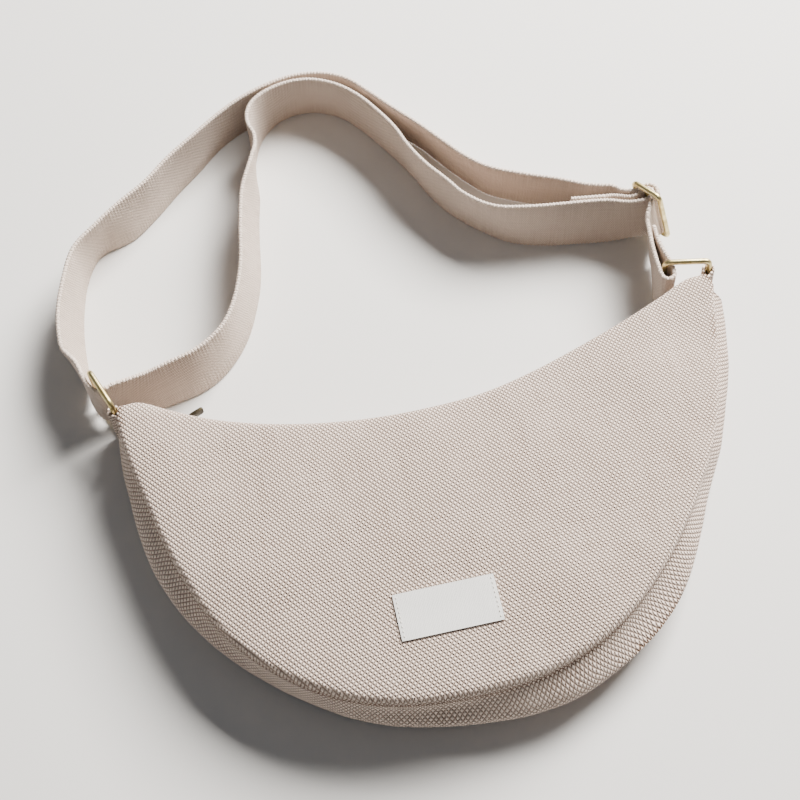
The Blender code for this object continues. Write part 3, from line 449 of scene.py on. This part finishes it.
def corner_lines(node):
    """The four long corner lines of a solid that is swept along a way, as stations x corners x 3."""
    item = merged_copy(node, f"{node}_way", quads=False)
    maker = bmesh.new()
    maker.from_mesh(item.data)
    bpy.data.objects.remove(item)
    maker.verts.ensure_lookup_table()
    sharp = {}
    for edge in maker.edges:
        if edge.calc_face_angle() > radians(CORNERED):
            first, second = (vertex.index for vertex in edge.verts)
            sharp.setdefault(first, []).append(second)
            sharp.setdefault(second, []).append(first)
    ends = [vertex for vertex in sharp if len(sharp[vertex]) == 3]
    if len(ends) != 8:
        raise RuntimeError(f"{node} isn't a swept solid with four corners: {len(ends)} ends")
    paths = []
    for end in ends:
        for step in sharp[end]:
            path = [end, step]
            while len(sharp[path[-1]]) == 2:
                path.append(next(v for v in sharp[path[-1]] if v != path[-2]))
            paths.append(path)
    paths.sort(key=len)
    long_ways = {path[0]: path for path in paths[-8:]}
    caps = {}
    for path in paths[:-8]:
        caps.setdefault(path[0], []).append(path[-1])
    place = [vertex.co.copy() for vertex in maker.verts]
    maker.free()
    start = min(ends, key=lambda vertex: tuple(round(value, 5) for value in place[vertex]))
    near = min(caps[start], key=lambda vertex: (place[vertex] - place[start]).length)
    ring = [start, near]
    while len(ring) < 4:
        ring.append(next(v for v in caps[ring[-1]] if v != ring[-2]))
    lines = [np.array([list(place[vertex]) for vertex in long_ways[corner]]) for corner in ring]
    count = max(len(line) for line in lines)
    return np.stack([evened(line, count) for line in lines], axis=1)


def evened(line, count):
    """A line with that many points: itself if it has them, or else spread evenly."""
    if len(line) == count:
        return line
    lengths = along_lengths(line)
    spots = np.linspace(0.0, lengths[-1], count)
    return np.stack([np.interp(spots, lengths, line[:, axis]) for axis in range(3)], axis=1)


def band_corners(node):
    """The corners of a flat band's solid, as stations x corners x 3, found ring by ring from one end."""
    item = merged_copy(node, f"{node}_way", quads=False)
    maker = bmesh.new()
    maker.from_mesh(item.data)
    bpy.data.objects.remove(item)
    beside = {vertex: {edge.other_vert(vertex) for edge in vertex.link_edges} for vertex in maker.verts}
    for diagonal in maker.edges:
        rim = {edge for face in diagonal.link_faces for edge in face.edges} - {diagonal}
        bluntest = min(edge.calc_face_angle() for edge in rim)
        if diagonal.calc_face_angle() > radians(1.0) or bluntest < radians(55.0):
            continue
        start, shortest = diagonal.verts[0], min(rim, key=lambda edge: edge.calc_length())
        ring = [start] if start in shortest.verts else [diagonal.verts[1]]
        ring.append(shortest.other_vert(ring[0]))
        while len(ring) < 4:
            ring.append(next(edge.other_vert(ring[-1]) for edge in rim
                             if ring[-1] in edge.verts and edge.other_vert(ring[-1]) not in ring))
        rings, seen = [ring], set(ring)
        while True:
            layer = {near for vertex in rings[-1] for near in beside[vertex]} - seen
            if len(layer) != 4:
                break
            last, middle = rings[-1], sum((v.co for v in layer), Vector()) / 4.0
            before = sum((v.co for v in last), Vector()) / 4.0

            def misfit(order):
                return sum(((v.co - middle) - (old.co - before)).length_squared for v, old in zip(order, last))

            fits = [order for order in permutations(layer)
                    if all(v in beside[old] for v, old in zip(order, last))]
            rings.append(list(min(fits, key=misfit)))
            seen |= layer
        if len(seen) == len(maker.verts):
            corners = np.array([[list(vertex.co) for vertex in ring] for ring in rings])
            maker.free()
            return corners
    raise RuntimeError(f"{node} isn't a band of four corners")


def along_lengths(points):
    return np.concatenate([[0.0], np.cumsum(np.linalg.norm(np.diff(points, axis=0), axis=1))])


def unit(rows):
    return rows / np.linalg.norm(rows, axis=1)[:, None]


class Way:
    """A band's way: even stations with its middle, its tangent, its own up and its side."""

    def __init__(self, corners, step):
        middle = corners.mean(1)
        up = unit((corners[:, 2] + corners[:, 3]) - (corners[:, 0] + corners[:, 1]))
        if up[:, 2].mean() < 0.0:
            up = -up
        self.width = float(np.linalg.norm(corners[0, 1] - corners[0, 2]))
        self.thickness = float(np.linalg.norm(corners[0, 0] - corners[0, 1]))
        length_at = along_lengths(middle)
        rows = np.hstack([middle, up])
        slope = np.gradient(rows, length_at, axis=0)
        self.at = np.linspace(0.0, length_at[-1], int(length_at[-1] / step) + 1)
        low = np.clip(np.searchsorted(length_at, self.at) - 1, 0, len(length_at) - 2)
        span = (length_at[low + 1] - length_at[low])[:, None]
        share = (self.at - length_at[low])[:, None] / span
        square, cube = share ** 2, share ** 3
        rows = ((2 * cube - 3 * square + 1) * rows[low] + (cube - 2 * square + share) * span * slope[low]
                + (3 * square - 2 * cube) * rows[low + 1] + (cube - square) * span * slope[low + 1])
        self.middle = rows[:, :3]
        self.along = unit(np.gradient(self.middle, self.at, axis=0))
        up = rows[:, 3:]
        self.up = unit(up - self.along * (up * self.along).sum(1)[:, None])
        self.side = np.cross(self.along, self.up)

    def point(self, at, out, rise):
        """The point at a length along the way, out of its middle face and up its own up."""
        index = int(np.clip(round(at / self.at[1]), 0, len(self.at) - 1))
        return Vector(self.middle[index] + self.side[index] * out + self.up[index] * rise)

    def out(self, at, face):
        index = int(np.clip(round(at / self.at[1]), 0, len(self.at) - 1))
        return Vector(self.side[index]) * face


def band(name, way, pitch=0.0, height=0.0):
    """A woven band along a way, with round edges that may have loops standing out."""
    half_wide, half_thick = way.width / 2.0, way.thickness / 2.0
    flat = half_wide - half_thick
    outline = []
    for side in (1.0, -1.0):
        for step in range(5):
            angle = pi * step / 4.0
            outline.append((side * half_thick * cos(angle), side * (flat + half_thick * sin(angle)), side))
        outline += [(-side * half_thick, side * flat * share, 0.0) for share in (0.5, 0.0, -0.5)]
    count = len(outline)
    loops = 0.5 + 0.5 * np.cos(2.0 * pi * way.at / pitch) if pitch else np.zeros(len(way.at))
    vertices, places = [], []
    for index in range(len(way.at)):
        for n, m, end in outline:
            m += end * height * loops[index]
            n *= 1.0 + 0.3 * abs(end) * loops[index] if pitch else 1.0
            vertices.append(way.middle[index] + way.side[index] * n + way.up[index] * m)
            places.append((way.at[index], m))
    faces = []
    for index in range(len(way.at) - 1):
        base = index * count
        for corner in range(count):
            after = (corner + 1) % count
            faces.append((base + corner, base + after, base + count + after, base + count + corner))
    faces.append(tuple(range(count)))
    faces.append(tuple(len(vertices) - count + corner for corner in reversed(range(count))))
    item = new_piece(name, vertices, faces)
    face_outwards(item)
    layer = item.data.uv_layers.new(name="cloth")
    for loop in item.data.loops:
        layer.data[loop.index].uv = places[loop.vertex_index]
    item.data.shade_smooth()
    return item


# A stitch's sections: share of its length, rise and size as shares of its radius.
STITCH_SECTIONS = (
    (0.0, -0.5, 0.5),
    (0.22, 0.35, 1.0),
    (0.5, 0.6, 1.0),
    (0.78, 0.35, 1.0),
    (1.0, -0.5, 0.5),
)


def add_thread(vertices, faces, start, end, up, radius, sections=STITCH_SECTIONS):
    """Add one short thread that rises out of the cloth and sinks back in."""
    along = end - start
    side = along.cross(up).normalized()
    base, sides = len(vertices), 6
    for share, lift, size in sections:
        for corner in range(sides):
            angle = 2.0 * pi * corner / sides
            turn = side * cos(angle) + up * sin(angle)
            vertices.append(start + along * share + up * (lift * radius) + turn * (radius * size))
    for ring in range(len(sections) - 1):
        for corner in range(sides):
            after = (corner + 1) % sides
            low = base + ring * sides
            faces.append((low + corner, low + sides + corner, low + sides + after, low + after))
    faces.append(tuple(base + corner for corner in range(sides)))
    last = base + (len(sections) - 1) * sides
    faces.append(tuple(last + corner for corner in reversed(range(sides))))


def stitches(name, rows, stitch, gap, radius, slot):
    """Rows of stitches: each row is a list of (point, outward direction)."""
    vertices, faces = [], []
    for row in rows:
        points = np.array([list(point) for point, _ in row])
        outs = np.array([list(out) for _, out in row])
        lengths = along_lengths(points)
        start = gap / 2.0
        while start + stitch <= lengths[-1]:
            ends = []
            for at in (start, start + stitch):
                ends.append(Vector([np.interp(at, lengths, points[:, axis]) for axis in range(3)]))
            middle = start + stitch / 2.0
            out = Vector([np.interp(middle, lengths, outs[:, axis]) for axis in range(3)]).normalized()
            add_thread(vertices, faces, ends[0], ends[1], out, radius)
            start += stitch + gap
    item = new_piece(name, vertices, faces)
    face_outwards(item)
    item.data.shade_smooth()
    return settle(item, BAG, "thread", slot)


# Canvas shell

def ripple_panel(item, height, weight):
    """Push a panel's outer side in and out softly, by a weight for each point."""
    for vertex in item.data.vertices:
        share = weight(vertex.co, vertex.normal)
        if share > 0.0:
            wave = noise.noise(vertex.co * 38.0) + 0.5 * noise.noise(vertex.co * 95.0)
            vertex.co += vertex.normal * (wave * height * share)
    item.data.update()


def ramped(value, low, high):
    share = min(max((value - low) / (high - low), 0.0), 1.0)
    return share * share * (3.0 - 2.0 * share)


def curve_place(node):
    """For a wall that follows a curve: place along it, and height."""
    corners = corner_lines(node)
    middle = corners.mean(1)[:, :2]
    lengths = along_lengths(middle)
    headings = unit(np.gradient(middle, lengths, axis=0))

    def place(point, normal):
        away = middle - np.array([point.x, point.y])
        index = int(np.argmin((away ** 2).sum(1)))
        ahead = float(-away[index] @ headings[index])
        return (lengths[index] + ahead, point.z)

    return place


class BAG_OT_canvas_shell(bpy.types.Operator):
    """Make the front and back panels, the gusset and the zip bands in canvas"""
    bl_idname = "belt_bag.canvas_shell"
    bl_label = "Canvas shell"

    def execute(self, context):
        settings = context.scene.bag_cloth
        low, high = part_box("label")
        label_middle = (low + high) / 2.0
        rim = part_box("front_panel")[0].z + 0.0045

        def front_place(point, normal):
            drop = max(rim - point.z, 0.0)
            return (point.x + normal.x * drop, point.y + normal.y * drop)

        def front_weight(point, normal):
            clear = ramped((point.xy - label_middle.xy).length, 0.026, 0.045)
            return ramped(normal.z, 0.75, 0.97) * clear

        def gusset_weight(point, normal):
            middle = ramped(point.z, 0.004, 0.012) * (1.0 - ramped(point.z, 0.024, 0.030))
            return 1.6 * middle if normal.to_2d().dot(point.xy - label_middle.xy) > 0.0 else 0.0

        for node in ("front_panel", "gusset", "back_panel", "zip_band_front", "zip_band_back"):
            item = merged_copy(node, f"canvas_{node}")
            curved = node in ("gusset", "zip_band_front", "zip_band_back")
            place = curve_place(node) if curved else front_place
            refine(item, 2, 0.75)
            if node == "front_panel":
                ripple_panel(item, settings.ripple, front_weight)
            if node == "gusset":
                ripple_panel(item, settings.ripple, gusset_weight)
            lay_cloth(item, place)
            seam_nearness(item, node)
            smooth(item)
            settle(item, BAG, "canvas", "canvas", node)
        return {"FINISHED"}


# Lengths between a band's stations, and the ways kept for the stitching.
STRAP_STATION = 0.00044
TAB_STATION = 0.0008
TAPE_STATION = 0.002
WAYS = {}


class BAG_OT_strap(bpy.types.Operator):
    """Make the webbing strap and the two canvas tabs that hold the rings"""
    bl_idname = "belt_bag.strap"
    bl_label = "Strap and tabs"

    def execute(self, context):
        settings = context.scene.bag_cloth
        way = Way(band_corners("strap"), STRAP_STATION)
        strap = band("strap_webbing", way, settings.selvedge_pitch, settings.selvedge_height)
        settle(strap, BAG, "webbing", "webbing", "strap")
        WAYS["strap"] = way
        for side in ("left", "right"):
            way = Way(band_corners(f"tab_{side}"), TAB_STATION)
            tab = band(f"tab_{side}_canvas", way)
            settle(tab, BAG, "canvas", "canvas", f"tab_{side}")
        return {"FINISHED"}


def own_axes(node):
    """Middle and own axes of a flat frame: across, up and normal, with its size along each."""
    points = np.array([list(vertex.co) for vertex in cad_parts[node].data.vertices])
    middle = (points.min(0) + points.max(0)) / 2.0
    axes = np.linalg.eigh(np.cov((points - points.mean(0)).T))[1]
    reach = (points - middle) @ axes
    middle = middle + axes @ ((reach.min(0) + reach.max(0)) / 2.0)
    size = reach.max(0) - reach.min(0)
    order = np.argsort(size)
    normal, across, up = (Vector(axes[:, index]) for index in order)
    if up.z < 0.0:
        up = -up
    across = up.cross(normal)
    matrix = Matrix((across, up, normal)).transposed().to_4x4()
    matrix.translation = Vector(middle)
    return matrix, float(size[order[1]]), float(size[order[2]]), float(size[order[0]])


def round_wire(name, node, bars):
    """A rounded rectangle of round wire, with a bar across its middle if asked."""
    matrix, across, tall, wire = own_axes(node)
    sides = bpy.context.scene.bag_metal.smoothness
    bpy.ops.object.select_all(action="DESELECT")
    bpy.ops.mesh.primitive_plane_add(size=1.0)
    item = bpy.context.object
    item.name = name
    bpy.ops.object.mode_set(mode="EDIT")
    bpy.ops.mesh.select_all(action="SELECT")
    bpy.ops.transform.resize(value=(across - wire, tall - wire, 1.0))
    bpy.ops.mesh.bevel(offset=wire * 0.95, segments=8, affect="VERTICES")
    bpy.ops.mesh.delete(type="ONLY_FACE")
    bpy.ops.object.mode_set(mode="OBJECT")
    bpy.ops.object.convert(target="CURVE")
    item = bpy.context.object
    item.data.dimensions = "3D"
    item.data.bevel_depth = wire / 2.0
    item.data.bevel_resolution = sides
    bpy.ops.object.convert(target="MESH")
    item = bpy.context.object
    for place in bars:
        bpy.ops.mesh.primitive_cylinder_add(
            vertices=20, radius=wire * 0.44, depth=tall - wire,
            location=(place, 0.0, 0.0), rotation=(pi / 2.0, 0.0, 0.0))
        bar = bpy.context.object
        bpy.ops.object.select_all(action="DESELECT")
        bar.select_set(True)
        item.select_set(True)
        bpy.context.view_layer.objects.active = item
        bpy.ops.object.join()
    only(item)
    bpy.ops.object.transform_apply(location=True, rotation=True, scale=True)
    item.data.transform(matrix)
    item.data.name = name
    bpy.ops.object.mode_set(mode="EDIT")
    bpy.ops.mesh.select_all(action="SELECT")
    bpy.ops.mesh.normals_make_consistent(inside=False)
    bpy.ops.object.mode_set(mode="OBJECT")
    smooth(item, 40.0)
    return item


class BAG_OT_brass(bpy.types.Operator):
    """Make the two rings and the strap's slider in antique brass"""
    bl_idname = "belt_bag.brass"
    bl_label = "Rings and slider"

    def execute(self, context):
        for name, node, bars in (("ring_left_wire", "ring_left", ()), ("ring_right_wire", "ring_right", ()),
                                 ("strap_slider_wire", "strap_slider", (0.0,))):
            settle(round_wire(name, node, bars), BAG, "brass", "antique_brass", node)
        return {"FINISHED"}


class BAG_OT_zip(bpy.types.Operator):
    """Make the zip: its tape, its teeth, its slider and its pull"""
    bl_idname = "belt_bag.zip"
    bl_label = "Zip"

    def execute(self, context):
        way = Way(corner_lines("zip_chain"), TAPE_STATION)
        tape = band("zip_tape_band", way)
        settle(tape, BAG, "tape", "zip_tape", "zip_chain")
        outwards = 1.0 if way.side[len(way.at) // 2][1] > 0.0 else -1.0
        vertices, faces = [], []
        pitch, root, tip = 0.00125, 0.0024, 0.0004
        low, high = way.thickness / 2.0 - 0.0002, way.thickness / 2.0 + 0.0009
        for index in range(int(way.at[-1] / pitch)):
            side = 1.0 if index % 2 else -1.0
            base = len(vertices)
            for out, half in ((low, 0.00052), (high, 0.00034)):
                for rise, ahead in ((root, -half), (-tip, -half), (-tip, half), (root, half)):
                    at = (index + 0.5) * pitch
                    station = min(int(round(at / way.at[1])), len(way.at) - 1)
                    spot = way.point(at, outwards * out, side * rise)
                    spot += Vector(way.along[station]) * (at - way.at[station] + ahead)
                    vertices.append(spot)
            for face in ((0, 1, 2, 3), (7, 6, 5, 4), (0, 4, 5, 1), (1, 5, 6, 2), (2, 6, 7, 3), (3, 7, 4, 0)):
                faces.append(tuple(base + corner for corner in face))
        teeth = new_piece("zip_teeth", vertices, faces)
        face_outwards(teeth)
        settle(teeth, BAG, "teeth", "zip_tape")
        for node, name, body in (("zip_slider", "zip_slider_metal", BAG), ("zip_pull", "zip_pull_metal", PULL)):
            item = merged_copy(node, name)
            apply_modifier(item, "BEVEL", width=0.00018, segments=2, limit_method="ANGLE",
                           angle_limit=radians(35.0))
            smooth(item, 35.0)
            settle(item, body, "dark_brass", "dark_brass", node)
        return {"FINISHED"}


class BAG_OT_label(bpy.types.Operator):
    """Make the bare satin label with the stitches at its two ends"""
    bl_idname = "belt_bag.label"
    bl_label = "Label"

    def execute(self, context):
        item = merged_copy("label", "label_satin")
        refine(item, 1, 0.9)
        lay_cloth(item, lambda point, normal: (point.x, point.y))
        smooth(item)
        settle(item, BAG, "label", "label_cloth", "label")
        maker = bmesh.new()
        maker.from_mesh(item.data)
        tree = BVHTree.FromBMesh(maker)
        maker.free()
        low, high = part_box("label")
        rows = []
        for x in (low.x + 0.0014, high.x - 0.0014):
            row = []
            for y in np.linspace(high.y - 0.0008, low.y + 0.0008, 24):
                spot, normal, _, _ = tree.ray_cast(Vector((x, y, high.z + 0.01)), -UP)
                row.append((spot, normal))
            rows.append(row)
        stitches("label_stitches", rows, 0.0012, 0.0009, 0.00022, "label_cloth")
        return {"FINISHED"}


class BAG_OT_stitching(bpy.types.Operator):
    """Make the sewn rows of the zip bands and the strap's ends"""
    bl_idname = "belt_bag.stitching"
    bl_label = "Stitching"

    def execute(self, context):
        rows = []
        for node, towards in (("zip_band_front", 1.0), ("zip_band_back", -1.0)):
            corners = corner_lines(node)
            order = sorted(range(4), key=lambda corner: corners[:, corner, 2].mean() * towards)
            mouth = max(order[:2], key=lambda corner: corners[:, corner, 1].mean())
            inner = min(order[:2], key=lambda corner: corners[:, corner, 1].mean())
            row = []
            for index in range(2, len(corners) - 2):
                out = Vector(corners[index, mouth] - corners[index, inner]).normalized()
                row.append((Vector(corners[index, mouth]) + UP * (towards * 0.0018) + out * 0.0001, out))
            rows.append(row)
        stitches("zip_band_stitches", rows, 0.0026, 0.0008, 0.00024, "canvas")
        way = WAYS["strap"]
        half_thick, reach = way.thickness / 2.0, way.width / 2.0 - 0.002
        total = way.at[-1]
        rows = []
        for at in (0.0025, 0.0045, total - 0.004, total - 0.0065):
            for face in (1.0, -1.0):
                rises = np.linspace(-reach, reach, 12)
                rows.append([(way.point(at, face * half_thick, rise), way.out(at, face)) for rise in rises])
        stitches("strap_stitches", rows, 0.0022, 0.0008, 0.0003, "webbing")
        return {"FINISHED"}


def look_at(item, spot):
    item.rotation_euler = (Vector(spot) - item.location).to_track_quat("-Z", "Y").to_euler()


# The camera: sensor and lens in millimetres, place in metres, turn in degrees.
SENSOR_WIDTH = 36.0
LENS = 57.8
CAMERA_PLACE = (-0.0684, -0.2998, 0.5536)
CAMERA_TURN = (28.0, 0.0, -12.5)


class BAG_OT_stage(bpy.types.Operator):
    """Make the floor, the soft lights and the camera"""
    bl_idname = "belt_bag.stage"
    bl_label = "Stage"

    def execute(self, context):
        settings = context.scene.bag_stage
        bpy.ops.object.select_all(action="DESELECT")
        bpy.ops.mesh.primitive_plane_add(size=8.0, location=(0.0, 0.0, -0.0002))
        floor = context.object
        floor.name = "floor"
        bpy.ops.object.transform_apply(location=True)
        floor.data.materials.append(floor_finish(settings.floor))
        for name, place, size, power, tint in (
            ("key_light", (0.95, 0.85, 1.15), 0.9, settings.key, (1.0, 0.965, 0.92)),
            ("fill_light", (-1.3, -0.5, 1.0), 1.6, settings.fill, (0.93, 0.96, 1.0)),
        ):
            data = bpy.data.lights.new(name, "AREA")
            data.size = size
            data.energy = power
            data.color = tint
            light = bpy.data.objects.new(name, data)
            context.scene.collection.objects.link(light)
            light.location = place
            look_at(light, (0.0, 0.0, 0.02))
        world = bpy.data.worlds.new("even_sky")
        world.use_nodes = True
        sky = world.node_tree.nodes["Background"]
        sky.inputs["Color"].default_value = (0.93, 0.95, 1.0, 1.0)
        sky.inputs["Strength"].default_value = settings.sky
        context.scene.world = world
        data = bpy.data.cameras.new("photo_camera")
        data.sensor_width = SENSOR_WIDTH
        data.lens = LENS
        data.clip_start = 0.01
        camera = bpy.data.objects.new("photo_camera", data)
        context.scene.collection.objects.link(camera)
        camera.location = CAMERA_PLACE
        camera.rotation_euler = [radians(angle) for angle in CAMERA_TURN]
        context.scene.camera = camera
        return {"FINISHED"}


class BAG_PT_sidebar(bpy.types.Panel):
    """List the pieces of the belt bag and their settings"""
    bl_idname = "BAG_PT_sidebar"
    bl_label = "Belt bag"
    bl_space_type = "VIEW_3D"
    bl_region_type = "UI"
    bl_category = "Belt bag"

    def draw(self, context):
        for operator in OPERATORS:
            self.layout.operator(operator.bl_idname)
        for group in (context.scene.bag_cloth, context.scene.bag_metal, context.scene.bag_stage):
            column = self.layout.column()
            for name in group.bl_rna.properties.keys():
                if name not in ("rna_type", "name"):
                    column.prop(group, name)


OPERATORS = (BAG_OT_canvas_shell, BAG_OT_strap, BAG_OT_brass, BAG_OT_zip, BAG_OT_label,
             BAG_OT_stitching, BAG_OT_stage)
GROUPS = (("bag_cloth", ClothSettings), ("bag_metal", MetalSettings), ("bag_stage", StageSettings))


def register():
    for name, group in GROUPS:
        bpy.utils.register_class(group)
        setattr(bpy.types.Scene, name, PointerProperty(type=group))
    for item in (*OPERATORS, BAG_PT_sidebar):
        bpy.utils.register_class(item)


def unregister():
    for item in reversed((*OPERATORS, BAG_PT_sidebar)):
        bpy.utils.unregister_class(item)
    for name, group in reversed(GROUPS):
        delattr(bpy.types.Scene, name)
        bpy.utils.unregister_class(group)


def main():
    register()
    bpy.ops.belt_bag.canvas_shell()
    bpy.ops.belt_bag.strap()
    bpy.ops.belt_bag.brass()
    bpy.ops.belt_bag.zip()
    bpy.ops.belt_bag.label()
    bpy.ops.belt_bag.stitching()
    bpy.ops.belt_bag.stage()


if __name__ == "__main__":
    main()
